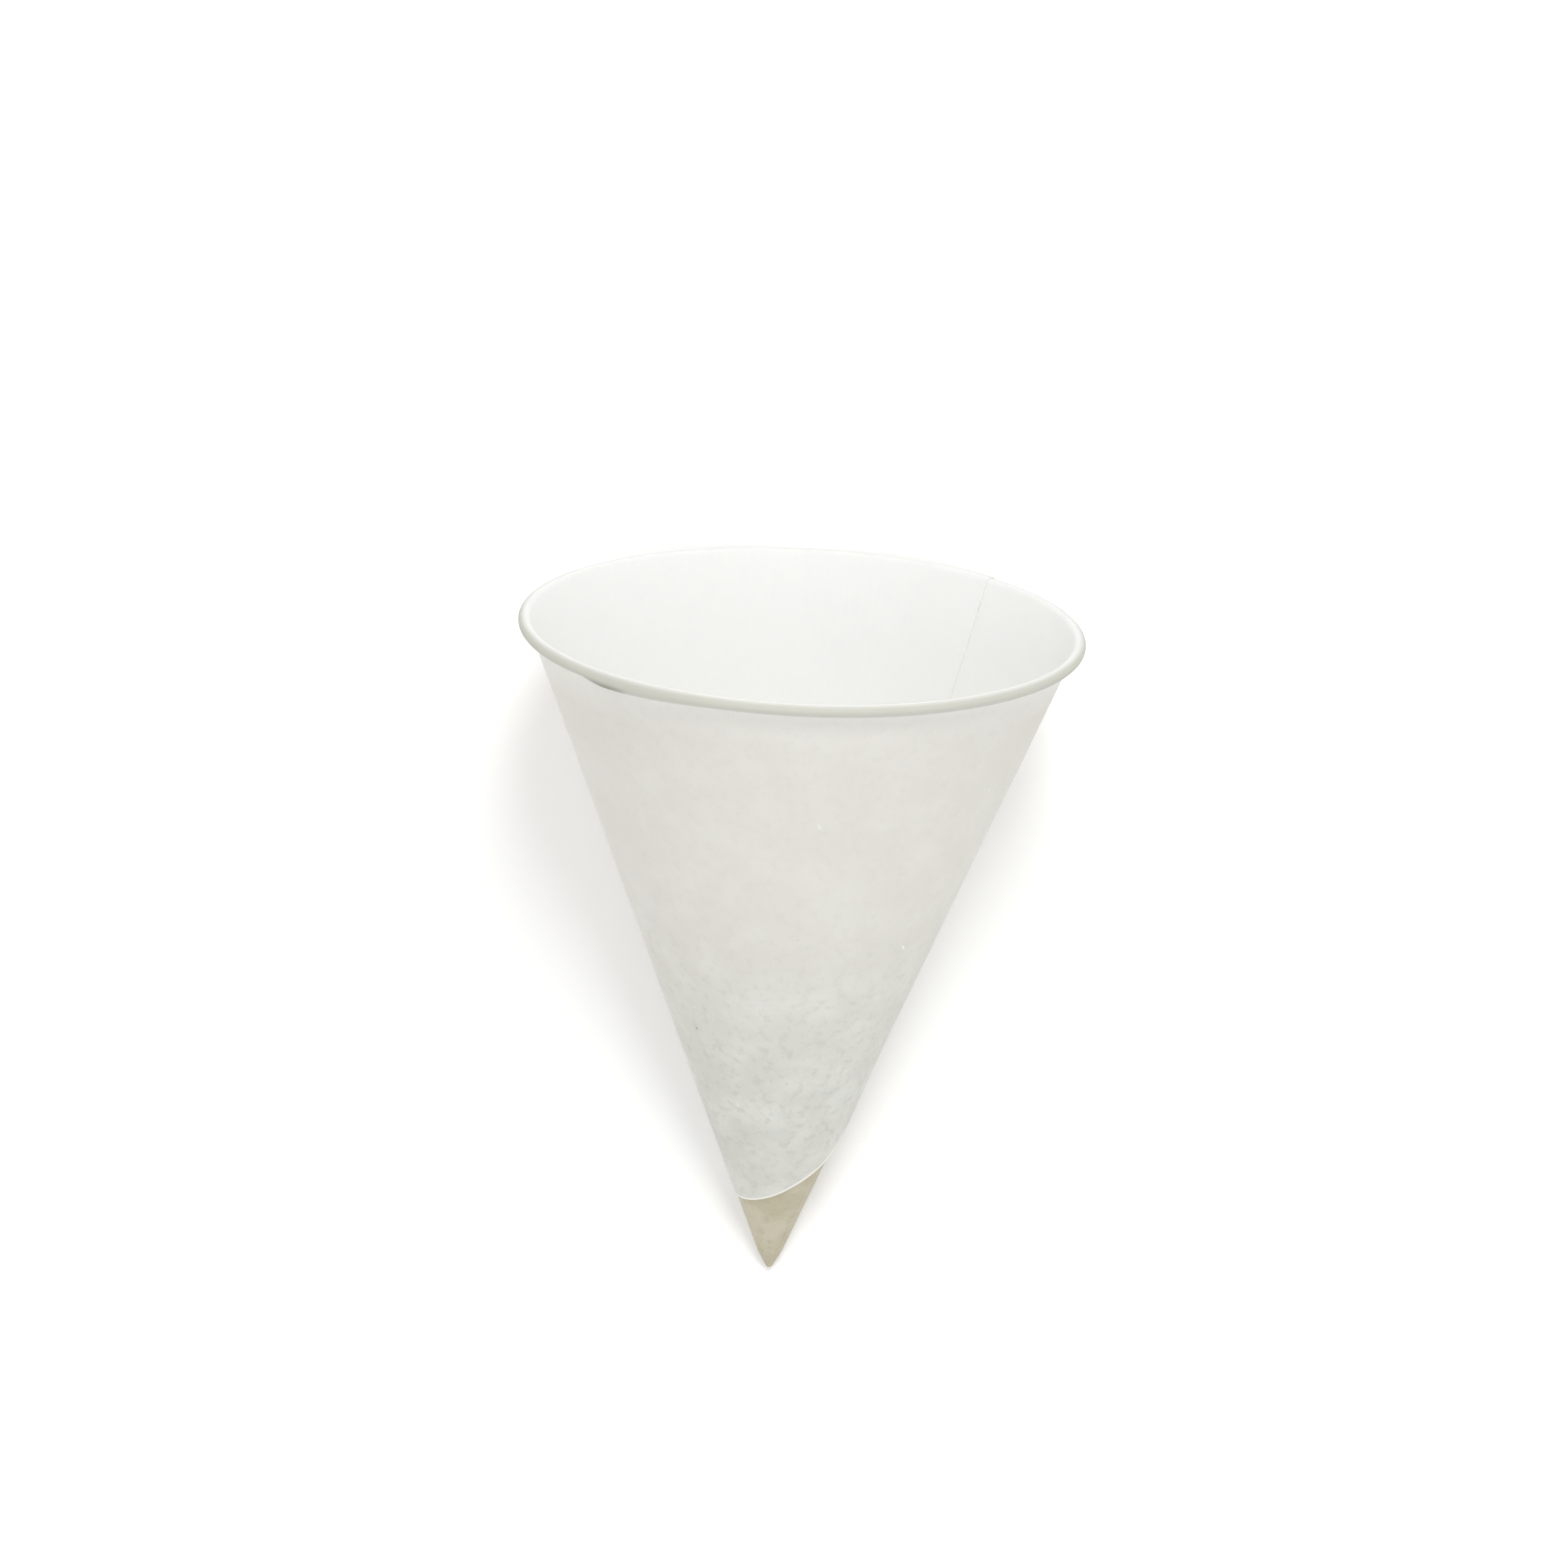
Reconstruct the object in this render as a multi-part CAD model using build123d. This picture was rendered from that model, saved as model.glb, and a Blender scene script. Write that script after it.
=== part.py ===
from build123d import *
from math import acos, asin, atan2, cos, degrees, hypot, radians, sin, tan
import os

# A rolled-rim cone cup: one sheet of paper wound twice into a cone, its rim curled outward.
# It is built about its own axis, with the cone's point at the origin, and is then laid on its side.
# Azimuths are degrees about the axis: 0 is the front of the cup, which ends up facing upward.
# Slants are distances from the point along the cone, and lifts are measured square to the paper.

# Driving sizes, millimetres and degrees
mouth_radius = 40.0      # inside of the mouth, where the curl begins
cup_depth = 106.0        # inside, from the mouth to the point
paper = 0.2              # one thickness of the sheet
curl_radius = 0.9        # outside of the rolled rim
curl_steps = 15          # straight steps round the roll, each 20 degrees or so
curl_clearance = 0.1     # between the curled edge and the wall under it
tip_radius = 0.6         # blunt outer point
cut_distance = 15.6      # nearest that the sheet's straight outer cut comes to the point
cut_azimuth = -85.0      # where it comes nearest
climb_angle = 4.0        # past the cut's end, where the sheet climbs onto its own first turn
lap_angle = 12.5         # start of the sheet that lies inside, under the end of the cut
start_slant = 9.0        # where the start edge begins, above the crushed point
cut_steps = 36           # points that carry the cut round the cone

# The cone that the sheet is wound on
half_angle = atan2(mouth_radius, cup_depth)
slope = sin(half_angle)
rim_slant = cup_depth / cos(half_angle)
wall = 2 * paper

# Flattened, the cut is a straight line: it meets the rim where its own slant is the rim's
cut_reach = degrees(acos(cut_distance / rim_slant)) / slope
finish_azimuth = cut_azimuth + cut_reach
climb_azimuth = finish_azimuth + climb_angle
start_azimuth = finish_azimuth - lap_angle


def on_section(slant, lift):
    """Point of the wall's half section in the XZ plane."""
    return (
        slant * sin(half_angle) + lift * cos(half_angle),
        slant * cos(half_angle) - lift * sin(half_angle),
    )


def on_cone(azimuth, slant, lift):
    """Point in space at an azimuth, where azimuth 0 is toward -Y and 90 toward +X."""
    radius, height = on_section(slant, lift)
    turn = radians(azimuth)
    return (radius * sin(turn), -radius * cos(turn), height)


def curl_point(turn, radius):
    """Point of the rolled rim, at a turn that starts where the wall's inside bends outward."""
    across = radians(turn)
    return on_section(rim_slant + radius * sin(across), curl_radius - radius * cos(across))


def along_cut(azimuth):
    """Distance along the flattened cut, from its nearest place to the point, to an azimuth."""
    return cut_distance * tan(radians(azimuth - cut_azimuth) * slope)


def on_cut(distance, lift):
    """Point on the wound cut, at a distance along it."""
    azimuth = cut_azimuth + degrees(atan2(distance, cut_distance)) / slope
    return on_cone(azimuth, hypot(distance, cut_distance), lift)


def curl_round(turn_from, turn_to, radius):
    """Side of the rolled rim between two turns, in steps far finer than the paper is thick."""
    turns = [turn_from + (turn_to - turn_from) * step / curl_steps for step in range(curl_steps + 1)]
    return Polyline(*(curl_point(turn, radius) for turn in turns))


def tip_arc(radius, lift):
    """Half section of the blunt point, from the wall to the axis."""
    centre = (tip_radius - paper) / slope
    middle = radians(45) - half_angle / 2
    return ThreePointArc(
        on_section(centre * cos(half_angle), lift),
        (radius * sin(middle), centre - radius * cos(middle)),
        (0, centre - radius),
    )


def inner_wrap():
    """The turn of the sheet that closes the point, with the rim that both turns roll into."""
    curl_end = 360 - degrees(acos(1 - (wall + curl_clearance) / curl_radius))
    curl_hollow = curl_radius - wall
    with BuildPart() as wrap:
        with BuildSketch(Plane.XZ):
            with BuildLine():
                inside_tip = tip_arc(tip_radius - paper, 0)
                Line(inside_tip @ 0, on_section(rim_slant, 0))
                curl_round(0, curl_end, curl_radius)
                Line(curl_point(curl_end, curl_radius), curl_point(curl_end, curl_hollow))
                curl_round(curl_end, 0, curl_hollow)
                Line(on_section(rim_slant, wall), on_section(rim_slant, paper))
                outside_tip = tip_arc(tip_radius, paper)
                Line(on_section(rim_slant, paper), outside_tip @ 0)
                Line(outside_tip @ 1, inside_tip @ 1)
            make_face()
        revolve(axis=Axis.Z)
    return wrap.part


def wound_layer(azimuth_from, azimuth_to, slant_from, lift_from, lift_to):
    """One thickness of the sheet between two azimuths, from a slant up to the rim."""
    with BuildPart() as layer:
        with BuildSketch(Plane.XZ):
            with BuildLine():
                Polyline(
                    on_section(slant_from, lift_from),
                    on_section(rim_slant, lift_from),
                    on_section(rim_slant, lift_to),
                    on_section(slant_from, lift_to),
                    close=True,
                )
            make_face()
        revolve(axis=Axis.Z, revolution_arc=azimuth_to - azimuth_from)
    return Rot(Z=azimuth_from - 90) * layer.part


def cut_face():
    """The cut's own face, square to the paper, which runs a degree past the turn that it ends."""
    first, last = along_cut(climb_azimuth - 361), along_cut(climb_azimuth + 1)
    stations = [first + (last - first) * step / cut_steps for step in range(cut_steps + 1)]
    edges = [Spline(*(on_cut(station, lift) for station in stations)) for lift in (0, 3 * paper)]
    return Face.make_surface_from_curves(edges[0].edge(), edges[1].edge())


def outer_wrap():
    """The last turn of the sheet, less what the straight cut takes off it, in two halves."""
    middle = climb_azimuth - 180
    cut = cut_face()
    halves = []
    for azimuth_from, azimuth_to in ((middle - 180, middle), (middle, climb_azimuth)):
        layer = wound_layer(azimuth_from, azimuth_to, start_slant, paper, wall)
        pieces = layer.split(cut, keep=Keep.ALL)
        halves.append(max(pieces.solids(), key=lambda piece: piece.center().Z))
    return halves


def start_lap():
    """The start of the sheet, which lies inside under the end of the cut and is glued there."""
    return wound_layer(start_azimuth, climb_azimuth, start_slant, -paper, 0)


def laid_on_side(cup):
    """The cup as it lies: on its rolled rim and its point, with its front facing upward."""
    rim_centre = on_section(rim_slant, curl_radius)
    tip_centre = (tip_radius - paper) / slope
    rise = rim_centre[1] - tip_centre
    lean = atan2(rim_centre[0], rise) + asin((curl_radius - tip_radius) / hypot(rim_centre[0], rise))
    lying = Rot(X=degrees(lean) - 90) * cup
    box = lying.bounding_box()
    return Pos(-box.center().X, -box.center().Y, -box.min.Z) * lying


def cone_cup():
    """The whole cup: one sheet, so one solid."""
    cup = inner_wrap().fuse(*outer_wrap(), start_lap())
    return laid_on_side(cup)


cup = cone_cup()
os.makedirs("parts", exist_ok=True)
export_step(cup, "parts/cone_cup.step")
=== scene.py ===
from math import acos, asin, atan2, cos, hypot, pi, radians, sin, tan, tau

import bmesh
import bpy
from mathutils import Matrix, Vector, noise as cloud


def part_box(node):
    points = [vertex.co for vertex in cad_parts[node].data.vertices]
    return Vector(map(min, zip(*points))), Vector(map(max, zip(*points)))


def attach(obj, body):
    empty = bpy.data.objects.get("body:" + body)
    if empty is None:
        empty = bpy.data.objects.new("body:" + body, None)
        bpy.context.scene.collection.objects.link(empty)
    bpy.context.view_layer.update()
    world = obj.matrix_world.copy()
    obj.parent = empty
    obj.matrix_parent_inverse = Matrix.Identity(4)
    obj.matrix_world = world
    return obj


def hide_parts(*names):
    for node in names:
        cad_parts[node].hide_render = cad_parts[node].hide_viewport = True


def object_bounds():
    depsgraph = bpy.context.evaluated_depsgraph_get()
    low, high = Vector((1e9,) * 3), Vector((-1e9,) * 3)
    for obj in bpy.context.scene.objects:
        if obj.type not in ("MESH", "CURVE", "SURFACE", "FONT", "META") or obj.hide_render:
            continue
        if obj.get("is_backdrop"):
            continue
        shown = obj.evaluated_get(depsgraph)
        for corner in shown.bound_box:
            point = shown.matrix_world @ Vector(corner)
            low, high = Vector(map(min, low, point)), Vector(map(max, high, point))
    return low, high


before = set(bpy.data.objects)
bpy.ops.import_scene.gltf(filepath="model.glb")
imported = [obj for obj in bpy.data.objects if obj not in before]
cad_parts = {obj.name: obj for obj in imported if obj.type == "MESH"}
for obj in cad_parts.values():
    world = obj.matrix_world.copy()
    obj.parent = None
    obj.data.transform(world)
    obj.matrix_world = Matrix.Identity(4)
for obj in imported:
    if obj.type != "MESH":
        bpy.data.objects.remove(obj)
cad_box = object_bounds()

# One sheet of cup paper: made flat, cut straight, wound twice into a cone and rolled at the rim.
# Sizes are metres. The flat sheet is seen from its outer side, with the cone's point at the
# origin. A turn is an azimuth in radians that goes on growing as the sheet winds outward, and 0
# is the front of the cup on its last turn. A slant is a distance from the point along the cone.

mouth_radius = 0.040        # inside of the mouth, where the roll begins
cup_depth = 0.106           # inside, from the mouth to the point
paper = 0.0002
layer_gap = 0.00001         # air between two turns
curl_radius = 0.0009        # outside of the rolled rim
curl_clearance = 0.0001     # between the rolled edge and the wall under it
tip_radius = 0.0006         # blunt outer point
round_slant = 0.0008        # below here the sheet goes round the blunt point
nose_slant = 0.005          # below here the wall closes in more steeply
nose_angle = radians(27.0)  # half angle of the closed end
cut_distance = 0.0156       # nearest that the sheet's straight outer cut comes to the point
cut_turn = radians(-85.0)   # where it comes nearest
cut_edge_highlight_width = 0.0005      # width of the painted highlight along the cut edge
climb_angle = radians(4.0)  # past the cut's end, where the sheet climbs onto its own first turn
climb_width = radians(7.0)  # over which it climbs
lap_angle = radians(12.5)   # start of the sheet that lies inside, under the end of the cut
joint_slant = 0.005         # below here the first turn's ends meet edge to edge
start_slant = 0.009         # above here the start of the sheet laps inside
spare_angle = radians(2.0)  # flat sheet past the cut's end, which the cut takes off

# The last turn has sprung open a little along its cut edge, where the glue doesn't reach it
edge_lift = 0.00050
edge_lift_reach = 0.012
lift_from, lift_full, lift_gone = radians(18.0), radians(62.0), radians(132.0)

# The rolled rim is slack on the left of the front, where its edge was tucked in late
slack_drop = 0.00062
slack_from, slack_full = radians(-47.5), radians(-43.5)
slack_taking_up, slack_gone = radians(-38.0), radians(-12.0)
# painted shadow: the stretch where a dark line is painted under the slack roll
crease_shadow_from, crease_shadow_full = radians(-46.5), radians(-43.5)
crease_shadow_fading, crease_shadow_gone = radians(-39.0), radians(-34.5)

# The paper has cockled slightly, in waves too low to see except as soft shading
cockle_height = 0.00004
cockles_per_metre = 75.0
ripple_share, ripples_per_cockle = 0.5, 2.3
cockles_from, cockles_full = start_slant, 0.022
cockles_fading, cockles_gone = 0.018, 0.003  # below the rim

# The cone that the sheet is wound on
half_angle = atan2(mouth_radius, cup_depth)
slope = sin(half_angle)
rim_slant = cup_depth / cos(half_angle)
turn_rise = paper + layer_gap
curl_middle = curl_radius - paper
curl_turn = tau - acos(1 - (2 * turn_rise + curl_clearance) / curl_radius)
roll_end = rim_slant + curl_turn * curl_middle

# Turns at which the sheet starts, climbs onto itself and is cut off
finish_turn = cut_turn + acos(cut_distance / rim_slant) / slope
first_climb = finish_turn + climb_angle - 2 * tau
second_climb = first_climb + tau
start_turn = finish_turn - lap_angle - 2 * tau
spare_turn = finish_turn + spare_angle

# How finely the flat sheet is divided: its columns, and stretches of slant with their rows,
# which are closest at the point, near the cut's lowest part and in the roll
column_angle = radians(2.5)
low_cut_slant = 0.042
rim_margin = 0.003
row_stretches = (
    (0, round_slant, 7),
    (round_slant, nose_slant, 7),
    (nose_slant, start_slant, 6),
    (start_slant, low_cut_slant, 23),
    (low_cut_slant, rim_slant - rim_margin, 14),
    (rim_slant - rim_margin, rim_slant, 3),
    (rim_slant, roll_end, 22),
)

same_place = 1e-6
same_turn = radians(1.0)
sheet_width = 2 * rim_slant
paper_side, bare_edge = 0, 1  # places of the two materials on the sheet


def smooth(low, high, value):
    """0 below low, 1 above high, and an even rise between."""
    share = min(max((value - low) / (high - low), 0.0), 1.0)
    return share * share * (3 - 2 * share)


# The flat sheet

def flat_angle(turn):
    return (turn - start_turn) * slope


def flat_turn(point):
    """The turn that a place on the flat sheet winds to."""
    return start_turn + (atan2(-point.y, point.x) % tau) / slope


def flat_across(turn):
    """Unit vector on the flat sheet that points away from the point at a turn."""
    return Vector((cos(flat_angle(turn)), -sin(flat_angle(turn)), 0))


def flat_slant(point):
    return hypot(point.x, point.y)


def past_cut(point):
    """How far a place on the flat sheet lies from the straight cut, on the side that is kept."""
    return point.dot(flat_across(cut_turn)) - cut_distance


def between(low, high, steps):
    return [low + (high - low) * step / steps for step in range(steps)]


def rows():
    """Slants at which the sheet has vertices."""
    return [slant for stretch in row_stretches for slant in between(*stretch)] + [roll_end]


def flat_fan():
    """The fan that the whole sheet is cut from, spun from one spine."""
    sheet = bmesh.new()
    spine = [sheet.verts.new((slant, 0, 0)) for slant in rows()]
    ribs = [sheet.edges.new(pair) for pair in zip(spine, spine[1:])]
    angle = flat_angle(spare_turn)
    bmesh.ops.spin(
        sheet, geom=spine + ribs, cent=(0, 0, 0), axis=(0, 0, -1), dvec=(0, 0, 0), angle=angle,
        steps=round(angle / slope / column_angle), use_merge=False, use_duplicate=False,
    )
    bmesh.ops.remove_doubles(sheet, verts=sheet.verts[:], dist=same_place)
    return sheet


def score(sheet, turn):
    """A line of vertices straight across the sheet."""
    along = flat_across(turn)
    bmesh.ops.bisect_plane(
        sheet, geom=sheet.verts[:] + sheet.edges[:] + sheet.faces[:], dist=same_place,
        plane_co=(0, 0, 0), plane_no=(-along.y, along.x, 0),
    )


def part_of(faces):
    """Faces, with the edges and vertices that they have."""
    edges = dict.fromkeys(edge for face in faces for edge in face.edges)
    verts = dict.fromkeys(vert for face in faces for vert in face.verts)
    return [*verts, *edges, *faces]


def middle_turn(face):
    return flat_turn(face.calc_center_median())


def middle_slant(face):
    return flat_slant(face.calc_center_median())


def last_turn_of(sheet):
    return [face for face in sheet.faces if middle_turn(face) > second_climb]


def score_last_turn(sheet, distance):
    """A line of vertices along the straight cut, or beside it, at a distance from the point."""
    across = flat_across(cut_turn)
    bmesh.ops.bisect_plane(
        sheet, geom=part_of(last_turn_of(sheet)), dist=same_place,
        plane_co=across * distance, plane_no=across,
    )


def cut_straight(sheet):
    """Cuts off the last turn along the straight line whose edge shows on the cup."""
    score_last_turn(sheet, cut_distance)
    waste = [face for face in last_turn_of(sheet) if past_cut(face.calc_center_median()) < 0]
    bmesh.ops.delete(sheet, geom=waste, context="FACES")
    score_last_turn(sheet, cut_distance + cut_edge_highlight_width)


def trim_start(sheet):
    """Keeps the start edge out of the steep end, where it has no room to lap."""
    crowded = [
        face for face in sheet.faces
        if middle_turn(face) < first_climb and middle_slant(face) < start_slant
    ]
    bmesh.ops.delete(sheet, geom=crowded, context="FACES")


def thicken(sheet):
    """Gives the flat sheet its thickness, and its bare edges their own finish."""
    bmesh.ops.recalc_face_normals(sheet, faces=sheet.faces[:])
    raised = bmesh.ops.extrude_face_region(sheet, geom=sheet.faces[:])["geom"]
    top = [part for part in raised if isinstance(part, bmesh.types.BMVert)]
    bmesh.ops.translate(sheet, verts=top, vec=(0, 0, paper))
    bmesh.ops.recalc_face_normals(sheet, faces=sheet.faces[:])
    for face in sheet.faces:
        upright = abs(face.normal.z) < 0.5
        face.material_index = bare_edge if upright else paper_side


def open_butt_joint(sheet):
    """Takes away the two edges that meet near the point, so that winding closes them."""
    meeting = [
        face for face in sheet.faces
        if face.material_index == bare_edge and middle_slant(face) < joint_slant
    ]
    bmesh.ops.delete(sheet, geom=meeting, context="FACES")


# Winding and rolling

def on_section(slant, lift):
    """Radius and height of a place on the wall."""
    return (
        slant * sin(half_angle) + lift * cos(half_angle),
        slant * cos(half_angle) - lift * sin(half_angle),
    )


def on_cup(turn, radius, height):
    """Point in the cup's own frame, with its axis along Z and its front toward -Y."""
    return Vector((radius * sin(turn), -radius * cos(turn), height))


def azimuth_of(turn):
    """Where a turn comes round to about the axis, from -pi to pi."""
    return (turn + pi) % tau - pi


def climb(turn, slant):
    """How far the sheet's inner side lies off the cone, from the paper beneath it."""
    half = climb_width / 2
    first = smooth(first_climb - half, first_climb + half, turn)
    second = smooth(second_climb - half, second_climb + half, turn)
    return turn_rise * (first + second - 1) * smooth(joint_slant, start_slant, slant)


def edge_stand_off(point, turn):
    """How far the last turn has sprung away from the cup near its cut edge."""
    if turn < lift_from:
        return 0.0
    along = smooth(lift_from, lift_full, turn) * (1 - smooth(lift_full, lift_gone, turn))
    near = max(1 - past_cut(point) / edge_lift_reach, 0.0)
    return edge_lift * along * near ** 2


def cockle(turn, slant):
    """Slow waves that both turns share, and that die out toward the point and the rim."""
    place = on_cup(turn, *on_section(slant, 0)) * cockles_per_metre
    waves = cloud.noise(place) + ripple_share * cloud.noise(place * ripples_per_cockle)
    calm = smooth(cockles_from, cockles_full, slant)
    calm *= 1 - smooth(rim_slant - cockles_fading, rim_slant - cockles_gone, slant)
    return cockle_height * calm * waves


def round_roll(slant):
    """Angle round the roll that the sheet has reached beyond the wall."""
    return (slant - rim_slant) / curl_middle


def slack(turn, across):
    """How far the outer side of the roll hangs down where it is slack."""
    azimuth = azimuth_of(turn)
    along = smooth(slack_from, slack_full, azimuth)
    along *= 1 - smooth(slack_taking_up, slack_gone, azimuth)
    return slack_drop * along * smooth(pi / 2, pi, across)


def on_roll(turn, slant, lift):
    """Radius and height on the rolled rim, for the sheet beyond the straight wall."""
    across = round_roll(slant)
    reach = curl_radius - lift
    down = slack(turn, across)
    return on_section(rim_slant + reach * sin(across) - down, curl_radius - reach * cos(across))


def nose_centre():
    """Height of the blunt point's centre."""
    radius, height = on_section(nose_slant, paper)
    return height - radius / tan(nose_angle) + tip_radius / sin(nose_angle)


def on_nose(slant, lift):
    """Radius and height on the steeper closed end, from its round point up to the wall."""
    reach = tip_radius - paper + lift
    if slant < round_slant:
        down = slant / round_slant * (pi / 2 - nose_angle)
        return reach * sin(down), nose_centre() - reach * cos(down)
    low = Vector((reach * cos(nose_angle), nose_centre() - reach * sin(nose_angle)))
    high = Vector(on_section(nose_slant, lift))
    return low.lerp(high, (slant - round_slant) / (nose_slant - round_slant))


def wound(point):
    """Where a point of the flat sheet ends up on the cup."""
    turn, slant = flat_turn(point), flat_slant(point)
    lift = climb(turn, slant) + point.z
    if slant < nose_slant:
        return on_cup(turn, *on_nose(slant, lift))
    if slant > rim_slant:
        return on_cup(turn, *on_roll(turn, slant, lift))
    lift += edge_stand_off(point, turn) + cockle(turn, slant)
    return on_cup(turn, *on_section(slant, lift))


# Zones of the sheet that take a tone of their own, each of them painted light or shade. A pair
# gives where one begins and where it is full, or where it begins to fade and where it is gone.

low_wall_shade_fades = 0.030, 0.085           # slants
below_rim_shows = 0.008, 0.0006         # below the rim
above_rim_fades = 0.0, 0.0004           # above the rim
bare_shade_fades = 0.026, 0.050               # slants
doubled_shows = 0.018, 0.030            # slants
doubled_from = radians(-40), radians(15)  # past the second climb
doubled_last = 0.0, radians(15)
roll_shade_shows = 0.9, 2.2                   # radians round the roll
underside_fades = 3.0, 4.2
underside_loss = 0.9
crease_shadow_shows = 2.6, 3.2


def on_last_turn(point):
    return flat_turn(point) > second_climb - same_turn and flat_slant(point) > start_slant


def low_wall_shade(point):
    """1 toward the point and 0 toward the rim: painted shade that darkens the wall toward the
    point, standing in for the light that comes through the paper near the rim.
    """
    return 1 - smooth(*low_wall_shade_fades, flat_slant(point))


def near_rim_light(point):
    """1 just below the roll: painted light that brightens the wall there, standing in for light
    from the mouth shining through the paper and lifting the roll's shadow.
    """
    above = flat_slant(point) - rim_slant
    begins, full = below_rim_shows
    return smooth(-begins, -full, above) * (1 - smooth(*above_rim_fades, above))


def inner_side(point):
    """1 on the side of the first turn that faces into the cup, which is painted whiter than the
    same paper outside as painted light, so that the inside looks brightly lit.
    """
    return 0.0 if point.z > paper / 2 or on_last_turn(point) else 1.0


def bare_point_shade(point):
    """1 near the point where the last turn leaves one sheet bare, and 0 where two lie together; the
    bare sheet is painted a darker beige, as painted shade with a warm tint of reflected light.
    """
    past_climb, slant = flat_turn(point) - second_climb, flat_slant(point)
    doubled = smooth(*doubled_from, past_climb)
    doubled *= max(smooth(*doubled_last, past_climb), smooth(*doubled_shows, slant))
    return (1 - doubled) * (1 - smooth(*bare_shade_fades, slant))


def rolled_rim_shade(point):
    """1 in the roll: painted shade, standing in for the light that its many layers keep from
    shining through, and less on its underside, where the real shadow already darkens it.
    """
    across = round_roll(flat_slant(point))
    return smooth(*roll_shade_shows, across) * (1 - underside_loss * smooth(*underside_fades, across))


def roll_crease_shadow(point):
    """1 in the short crease under the slack stretch of the roll, where its edge gapes: a painted
    shadow line darkens it.
    """
    azimuth = azimuth_of(flat_turn(point))
    along = smooth(crease_shadow_from, crease_shadow_full, azimuth)
    along *= 1 - smooth(crease_shadow_fading, crease_shadow_gone, azimuth)
    return along * smooth(*crease_shadow_shows, round_roll(flat_slant(point)))


def cut_edge_highlight(point):
    """1 along the cut edge of the last turn, where a painted highlight lightens the paper."""
    return 1 - smooth(0, cut_edge_highlight_width, past_cut(point)) if on_last_turn(point) else 0.0


def note_places(sheet):
    """Keeps each point's flat place as a UV map, in sheet widths, and marks the zones."""
    uv = sheet.loops.layers.uv.new("flat_sheet")
    zones = [
        (zone, sheet.verts.layers.float.new(zone.__name__))
        for zone in (low_wall_shade, near_rim_light, inner_side, bare_point_shade, rolled_rim_shade, roll_crease_shadow, cut_edge_highlight)
    ]
    for vert in sheet.verts:
        for zone, layer in zones:
            vert[layer] = zone(vert.co)
        for loop in vert.link_loops:
            loop[uv].uv = vert.co.xy / sheet_width + Vector((0.5, 0.5))


# The finished sheet

def wind(sheet):
    for vert in sheet.verts:
        vert.co = wound(vert.co)
    bmesh.ops.remove_doubles(sheet, verts=sheet.verts[:], dist=same_place)
    bmesh.ops.dissolve_degenerate(sheet, edges=sheet.edges[:], dist=same_place)


def crisp_edges(sheet):
    """The cut edges of the paper stay sharp, and all the rest of it is smooth."""
    for edge in sheet.edges:
        edge.smooth = len({face.material_index for face in edge.link_faces}) < 2


def laid_down():
    """Turns the cup onto its side, on its rolled rim and its point."""
    rim_radius, rim_height = on_section(rim_slant, curl_radius)
    rise = rim_height - (tip_radius - paper) / slope
    lean = atan2(rim_radius, rise) + asin((curl_radius - tip_radius) / hypot(rim_radius, rise))
    return Matrix.Rotation(lean - pi / 2, 4, "X")


def set_down(sheet):
    """Lays the cup where the frame's own cup lies, and says how it was placed."""
    low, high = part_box("cone_cup")
    bmesh.ops.transform(sheet, matrix=laid_down(), verts=sheet.verts[:])
    place = Matrix.Translation((
        (low[0] + high[0]) / 2,
        high[1] - max(vert.co.y for vert in sheet.verts),
        low[2] - min(vert.co.z for vert in sheet.verts),
    ))
    bmesh.ops.transform(sheet, matrix=place, verts=sheet.verts[:])
    return place @ laid_down()


def new_piece(name, shape, materials):
    mesh = bpy.data.meshes.new(name)
    shape.to_mesh(mesh)
    shape.free()
    for material in materials:
        mesh.materials.append(material)
    piece = bpy.data.objects.new(name, mesh)
    bpy.context.scene.collection.objects.link(piece)
    return piece


def wound_sheet(materials):
    sheet = flat_fan()
    score(sheet, first_climb)
    score(sheet, second_climb)
    cut_straight(sheet)
    trim_start(sheet)
    thicken(sheet)
    open_butt_joint(sheet)
    note_places(sheet)
    wind(sheet)
    bmesh.ops.recalc_face_normals(sheet, faces=sheet.faces[:])
    crisp_edges(sheet)
    placement = set_down(sheet)
    return new_piece("wound_sheet", sheet, materials), placement


# Materials

# The sockets of a colour mix, which share their names with those of other kinds of mix
mix_share, mix_first, mix_second, mix_result = 0, 6, 7, 2


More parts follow.
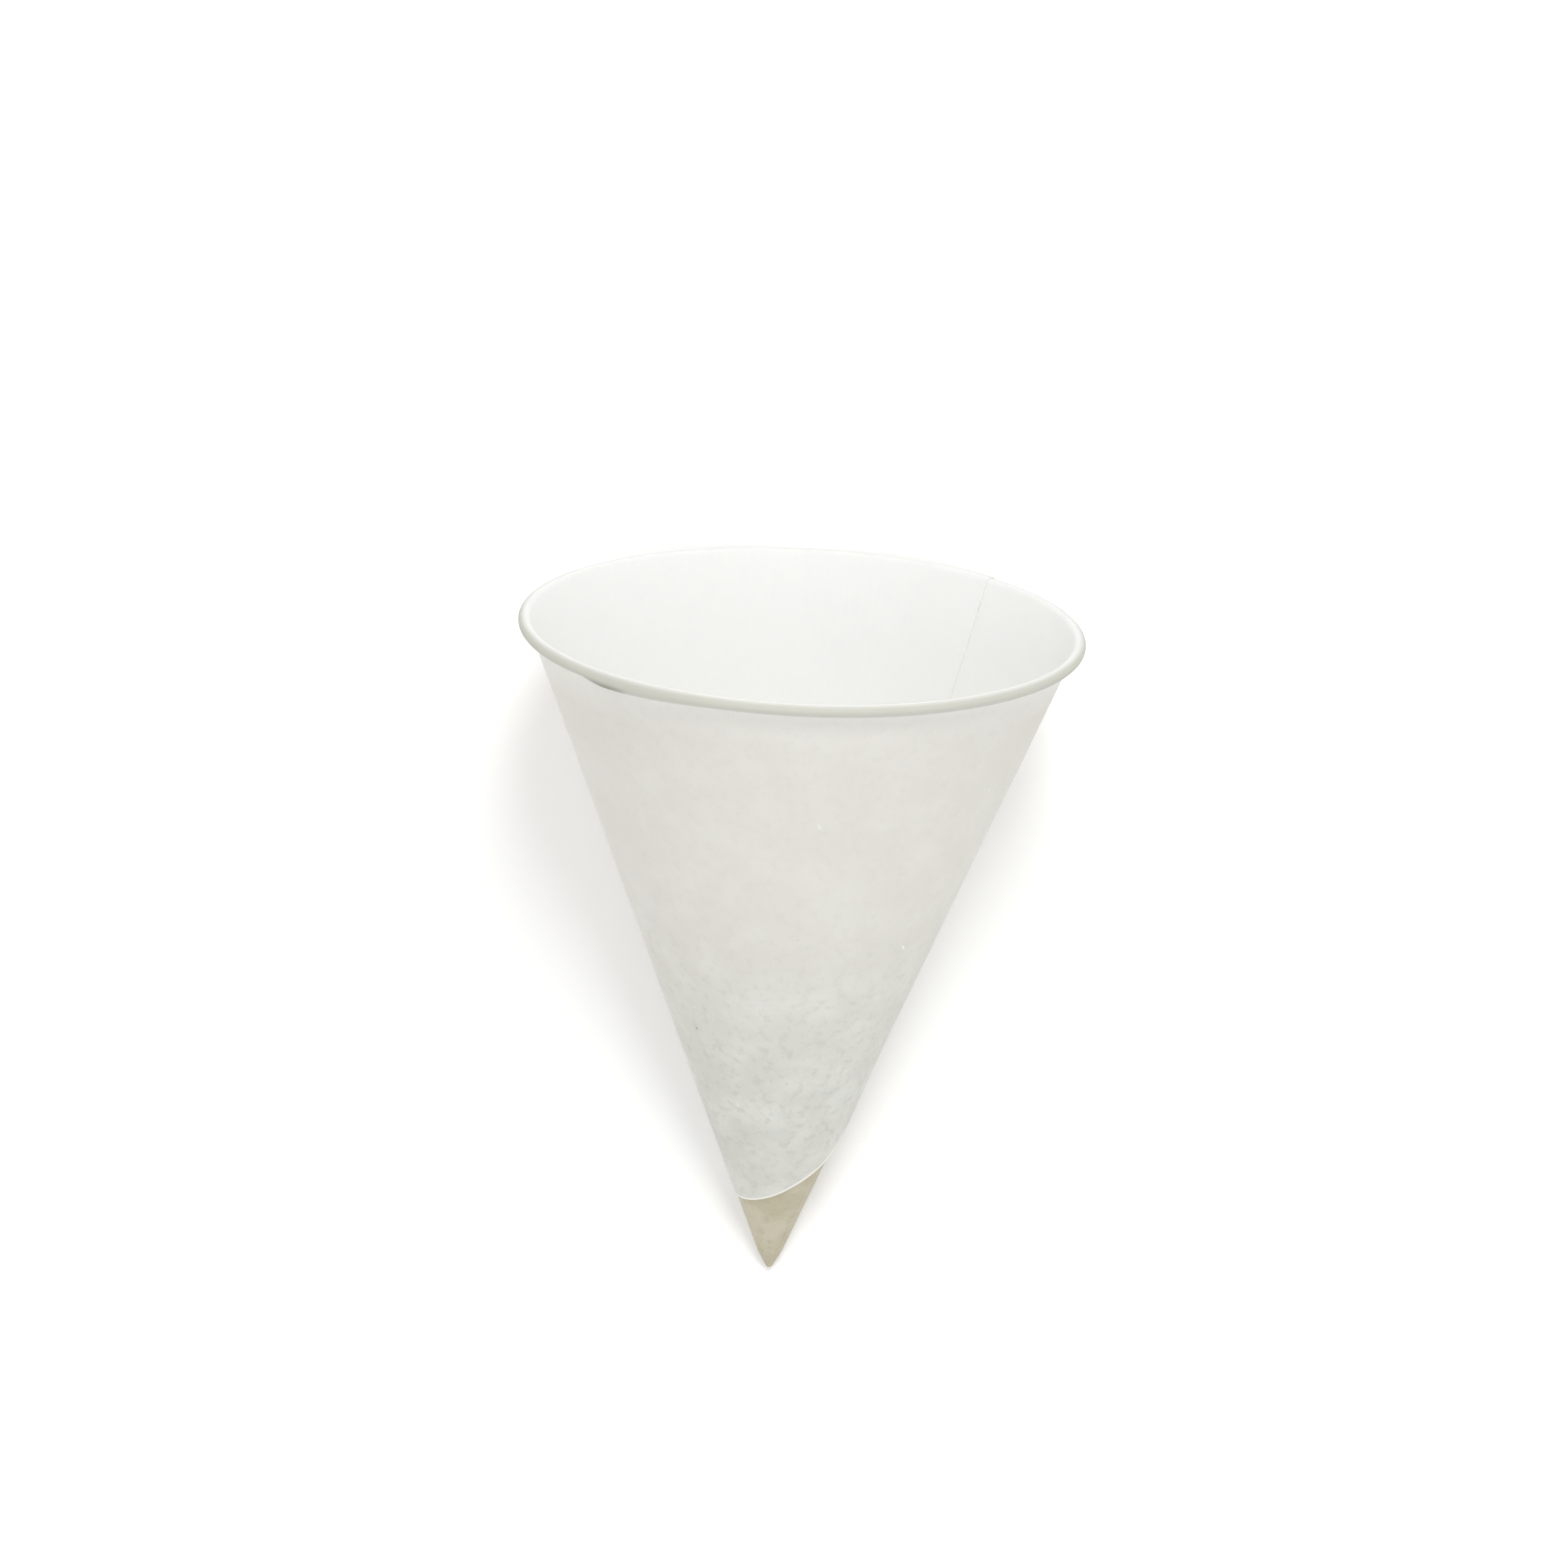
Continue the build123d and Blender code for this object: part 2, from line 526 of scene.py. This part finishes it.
class Paint:
    """A material, with the nodes that its looks are mixed from."""

    def __init__(self, name):
        self.material = bpy.data.materials.new(name)
        self.material.use_nodes = True
        self.nodes = self.material.node_tree.nodes
        self.links = self.material.node_tree.links

    def feed(self, socket, value):
        """Gives a socket a number, a colour, or what another socket puts out."""
        if isinstance(value, (int, float)):
            socket.default_value = value
        elif isinstance(value, tuple):
            socket.default_value = (*value, 1)
        else:
            self.links.new(value, socket)

    def surface(self, values):
        """Feeds the sockets of the surface by their names."""
        for name, value in values.items():
            self.feed(self.nodes["Principled BSDF"].inputs[name], value)

    def soak_light(self):
        """Lets some of the light spread inside the paper."""
        inputs = self.nodes["Principled BSDF"].inputs
        inputs["Subsurface Weight"].default_value = 0.30
        inputs["Subsurface Radius"].default_value = (1.0, 0.9, 0.7)
        inputs["Subsurface Scale"].default_value = 0.0008

    def sheet_millimetres(self, stretch=(1, 1, 1)):
        """Places on the flat sheet, in millimetres, so that a pattern runs with the paper."""
        flat = self.nodes.new("ShaderNodeUVMap")
        flat.uv_map = "flat_sheet"
        ruler = self.nodes.new("ShaderNodeMapping")
        ruler.inputs["Scale"].default_value = [1000 * sheet_width * part for part in stretch]
        self.links.new(flat.outputs["UV"], ruler.inputs["Vector"])
        return ruler.outputs["Vector"]

    def zone(self, name, strength=1.0):
        """How far a place is in one of the sheet's zones."""
        marked = self.nodes.new("ShaderNodeAttribute")
        marked.attribute_name = name
        return self.combine("MULTIPLY", marked.outputs["Fac"], strength)

    def noise(self, place, per_millimetre, detail, roughness, distortion=0.0):
        texture = self.nodes.new("ShaderNodeTexNoise")
        texture.inputs["Scale"].default_value = per_millimetre
        texture.inputs["Detail"].default_value = detail
        texture.inputs["Roughness"].default_value = roughness
        texture.inputs["Distortion"].default_value = distortion
        self.links.new(place, texture.inputs["Vector"])
        return texture.outputs["Fac"]

    def spread(self, value, low, high, out_low=0.0, out_high=1.0):
        """Stretches a value between two limits."""
        ranged = self.nodes.new("ShaderNodeMapRange")
        ranged.interpolation_type = "SMOOTHSTEP"
        ranged.inputs["From Min"].default_value = low
        ranged.inputs["From Max"].default_value = high
        ranged.inputs["To Min"].default_value = out_low
        ranged.inputs["To Max"].default_value = out_high
        self.links.new(value, ranged.inputs["Value"])
        return ranged.outputs["Result"]

    def combine(self, operation, first, second):
        worked_out = self.nodes.new("ShaderNodeMath")
        worked_out.operation = operation
        self.feed(worked_out.inputs[0], first)
        self.feed(worked_out.inputs[1], second)
        return worked_out.outputs["Value"]

    def tint(self, share, first, second):
        """Mixes two colours, or a colour into what came before."""
        mixer = self.nodes.new("ShaderNodeMix")
        mixer.data_type = "RGBA"
        self.feed(mixer.inputs[mix_share], share)
        self.feed(mixer.inputs[mix_first], first)
        self.feed(mixer.inputs[mix_second], second)
        return mixer.outputs[mix_result]

    def specks(self, place, per_millimetre, size, share):
        """1 in a few small round spots."""
        cells = self.nodes.new("ShaderNodeTexVoronoi")
        cells.inputs["Scale"].default_value = per_millimetre
        self.links.new(place, cells.inputs["Vector"])
        near = self.spread(cells.outputs["Distance"], size, size * 0.4)
        chosen = self.nodes.new("ShaderNodeSeparateColor")
        self.links.new(cells.outputs["Color"], chosen.inputs["Color"])
        few = self.combine("LESS_THAN", chosen.outputs["Red"], share)
        return self.combine("MULTIPLY", near, few)


white_paper = (0.822, 0.798, 0.726)
pale_paper = (0.848, 0.828, 0.763)
# painted light: brighter paper just below the roll
rim_light_paper = (0.945, 0.925, 0.857)
# painted shade: the wall's paper darkened toward the point
shaded_low_paper = (0.700, 0.698, 0.642)
shaded_low_pale_paper = (0.795, 0.793, 0.732)
grey_flock = (0.560, 0.550, 0.490)
# painted light: the inside of the same paper, painted whiter
painted_light_inner_paper = (0.945, 0.940, 0.915)
# painted shade: the grey of the rolled rim
shaded_roll_paper = (0.540, 0.537, 0.474)
# painted shadow in the crease under the slack roll
crease_shadow_paper = (0.370, 0.365, 0.310)
# painted shade with a warm tint of reflected light: the single sheet near the point
shaded_bare_paper = (0.535, 0.490, 0.370)
pale_shaded_bare_paper = (0.600, 0.562, 0.442)
dark_shaded_bare_paper = (0.470, 0.415, 0.300)
# painted highlight along the cut edge
cut_edge_highlight_paper = (0.960, 0.945, 0.870)
dark_speck = (0.46, 0.42, 0.34)
bright_speck = (0.96, 0.96, 0.93)
edge_paper = (0.82, 0.79, 0.71)
pale_edge_paper = (0.93, 0.92, 0.88)
floor_grey = (0.86, 0.86, 0.86)
white = (1.0, 1.0, 1.0)


def cup_paper():
    """Uncoated paper, cloudy where its fibres gather, with flocks, fine fibres and a few specks,
    and with painted light and shade in the sheet's zones.
    """
    paint = Paint("cup_paper")
    place = paint.sheet_millimetres()
    grain_place = paint.sheet_millimetres(stretch=(0.4, 1.8, 1))
    clouds = paint.noise(place, 0.12, detail=4, roughness=0.55, distortion=0.1)
    flocks = paint.noise(place, 0.60, detail=5, roughness=0.60, distortion=0.1)
    fibres = paint.noise(grain_place, 1.6, detail=3, roughness=0.6, distortion=1.2)
    tooth = paint.noise(place, 5.5, detail=3, roughness=0.6)

    # The wall, painted darker toward the point as painted shade and lighter just below the roll as
    # painted light, with more flocks toward the point
    toward_point_shade_and_flocks = paint.zone("low_wall_shade")
    light_cloud = paint.spread(clouds, 0.38, 0.72)
    dark_flock = paint.spread(flocks, 0.52, 0.32)
    high_colour = paint.tint(light_cloud, white_paper, pale_paper)
    low_shade_colour = paint.tint(light_cloud, shaded_low_paper, shaded_low_pale_paper)
    colour = paint.tint(toward_point_shade_and_flocks, high_colour, low_shade_colour)
    colour = paint.tint(paint.zone("near_rim_light"), colour, rim_light_paper)
    flock_strength = paint.spread(toward_point_shade_and_flocks, 0, 1, out_low=0.08, out_high=0.42)
    flock_share = paint.combine("MULTIPLY", dark_flock, flock_strength)
    colour = paint.tint(flock_share, colour, grey_flock)
    fibre_share = paint.combine("MULTIPLY", paint.spread(fibres, 0.56, 0.72), 0.10)
    colour = paint.tint(fibre_share, colour, bright_speck)

    # The single sheet at the point, painted a darker beige as painted shade with a warm tint of
    # reflected light, mottled with flocks
    bare_shade_colour = paint.tint(paint.spread(clouds, 0.42, 0.60), shaded_bare_paper, pale_shaded_bare_paper)
    bare_share = paint.combine("MULTIPLY", dark_flock, 0.55)
    bare_shade_colour = paint.tint(bare_share, bare_shade_colour, dark_shaded_bare_paper)
    colour = paint.tint(paint.zone("bare_point_shade"), colour, bare_shade_colour)

    # Specks, and the painted light of the inner side and the cut edge, and the painted shade of the
    # roll and its crease
    dark_specks = paint.specks(place, 0.14, size=0.045, share=0.12)
    colour = paint.tint(dark_specks, colour, dark_speck)
    colour = paint.tint(paint.zone("inner_side", 0.9), colour, painted_light_inner_paper)
    bright_specks = paint.specks(grain_place, 0.16, size=0.060, share=0.25)
    colour = paint.tint(bright_specks, colour, bright_speck)
    colour = paint.tint(paint.zone("rolled_rim_shade", 0.9), colour, shaded_roll_paper)
    colour = paint.tint(paint.zone("roll_crease_shadow"), colour, crease_shadow_paper)
    cut_highlight_share = paint.spread(paint.zone("cut_edge_highlight"), 0, 0.55)
    colour = paint.tint(cut_highlight_share, colour, cut_edge_highlight_paper)

    relief = paint.combine("ADD", paint.combine("MULTIPLY", flocks, 0.6), clouds)
    relief = paint.combine("ADD", relief, paint.combine("MULTIPLY", tooth, 0.25))
    relief = paint.combine("ADD", relief, paint.combine("MULTIPLY", fibres, 0.2))
    bump = paint.nodes.new("ShaderNodeBump")
    bump.inputs["Strength"].default_value = 0.4
    bump.inputs["Distance"].default_value = 0.00008
    paint.links.new(relief, bump.inputs["Height"])

    paint.soak_light()
    paint.surface({
        "Base Color": colour,
        "Roughness": paint.spread(flocks, 0.3, 0.7, out_low=0.62, out_high=0.78),
        "Specular IOR Level": 0.35,
        "Normal": bump.outputs["Normal"],
    })
    return paint.material


def cut_edge_paper():
    """The thickness of the sheet, which shows along its cut edges, mottled from the paper's tone to
    a whiter one.
    """
    paint = Paint("cut_edge_paper")
    fuzz = paint.noise(paint.sheet_millimetres(), 3.0, detail=3, roughness=0.6)
    paint.soak_light()
    paint.surface({
        "Base Color": paint.tint(fuzz, edge_paper, pale_edge_paper),
        "Roughness": 0.85,
        "Specular IOR Level": 0.25,
    })
    return paint.material


# Stage

floor_reach = 2.0
cup_middle = Vector((0, 0, 0.03))


def floor_paint():
    """Plain pale floor that looks white to the camera and still takes the cup's shadow."""
    paint = Paint("floor_paint")
    seen = paint.nodes.new("ShaderNodeLightPath").outputs
    share = paint.combine("MAXIMUM", seen["Is Camera Ray"], seen["Is Glossy Ray"])
    share = paint.combine("MAXIMUM", share, seen["Is Transmission Ray"])
    paint.surface({
        "Base Color": floor_grey,
        "Roughness": 1.0,
        "Specular IOR Level": 0.0,
        "Emission Color": white,
        "Emission Strength": paint.combine("MULTIPLY", share, 0.15),
    })
    return paint.material


def floor():
    ground = bmesh.new()
    bmesh.ops.create_grid(ground, x_segments=1, y_segments=1, size=floor_reach)
    piece = new_piece("floor", ground, [floor_paint()])
    piece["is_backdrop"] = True


def soft_light(name, place, size, power, colour):
    """A round lamp that is aimed at the cup."""
    lamp = bpy.data.lights.new(name, "AREA")
    lamp.shape, lamp.size, lamp.energy, lamp.color = "DISK", size, power, colour
    piece = bpy.data.objects.new(name, lamp)
    piece.location = place
    piece.rotation_euler = (cup_middle - Vector(place)).to_track_quat("-Z", "Y").to_euler()
    bpy.context.scene.collection.objects.link(piece)


def studio_air(strength):
    world = bpy.data.worlds.new("studio_air")
    world.use_nodes = True
    background = world.node_tree.nodes["Background"]
    background.inputs["Color"].default_value = (*white, 1)
    background.inputs["Strength"].default_value = strength
    bpy.context.scene.world = world


# The camera, as the photograph sees the cup: distances in mouth radii, in the cup's own frame
image_pixels = 1556
sensor_width = 36.0
view_lift = radians(18.63)
view_roll = radians(2.91)
view_distance = 14.0
view_focus_pixels = 3701.4
view_right, view_up, view_height = -0.0609, 0.5622, 0.55 * cup_depth / mouth_radius


def camera(placement):
    back = Vector((0, -cos(view_lift), sin(view_lift)))
    up = Vector((0, sin(view_lift), cos(view_lift)))
    right = Vector((1, 0, 0))
    target = (right * view_right + up * view_up + Vector((0, 0, view_height))) * mouth_radius
    facing = Matrix((right, up, back)).transposed().to_4x4()
    data = bpy.data.cameras.new("camera")
    data.sensor_width = sensor_width
    data.lens = view_focus_pixels / image_pixels * sensor_width
    piece = bpy.data.objects.new("camera", data)
    stand = Matrix.Translation(target + back * view_distance * mouth_radius)
    piece.matrix_world = placement @ stand @ facing @ Matrix.Rotation(view_roll, 4, "Z")
    bpy.context.scene.collection.objects.link(piece)
    bpy.context.scene.camera = piece


sheet, placement = wound_sheet([cup_paper(), cut_edge_paper()])
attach(sheet, "root")
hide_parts("cone_cup")

floor()
studio_air(0.61)
soft_light("key", (0.08, 0.48, 0.86), size=0.30, power=4.0, colour=(0.99, 1.0, 0.975))
soft_light("fill", (-0.02, -0.40, 0.90), size=0.6, power=1.6, colour=(1.0, 0.98, 0.95))
soft_light("left_fill", (-0.75, -0.05, 0.40), size=0.5, power=0.5, colour=(1.0, 0.98, 0.95))
soft_light("right_fill", (0.75, -0.05, 0.40), size=0.5, power=0.5, colour=(0.98, 1.0, 0.99))
camera(placement)
bpy.context.scene.view_settings.view_transform = "Standard"

boxes = {"cad": cad_box, "visual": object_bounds()}
{name: [list(corner) for corner in box] for name, box in boxes.items()}
